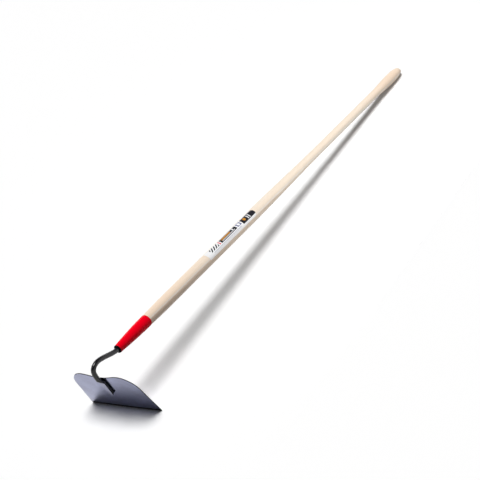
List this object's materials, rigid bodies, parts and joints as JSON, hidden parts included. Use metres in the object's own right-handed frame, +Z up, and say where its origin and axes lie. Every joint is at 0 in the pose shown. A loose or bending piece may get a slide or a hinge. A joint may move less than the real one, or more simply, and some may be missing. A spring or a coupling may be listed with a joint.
{
  "type": "garden hoe",
  "caption": "Long handled draw hoe: turned wood handle, tapered ferrule, gooseneck rod and a shouldered sheet blade welded to the rod.",
  "frame": {"origin": "middle of the flat land along the cutting edge, on the floor the hoe lies on", "axes": "+Z up; +Y along the floor from the blade to the knob of the handle; +X across the blade"},
  "size_m": [0.1902, 1.4599, 0.1483],
  "materials": {
    "handle": "lacquered pale ash",
    "ferrule": "gloss red enamel",
    "rod": "gloss black enamel",
    "blade": "satin lacquered sheet steel",
    "weld": "lacquered weld bead",
    "label": "printed film"
  },
  "bodies": {
    "root": {"handle": "handle", "ferrule": "ferrule", "rod": "rod", "blade": "blade", "weld_left": "weld", "weld_right": "weld", "label": "label"}
  },
  "joints": []
}
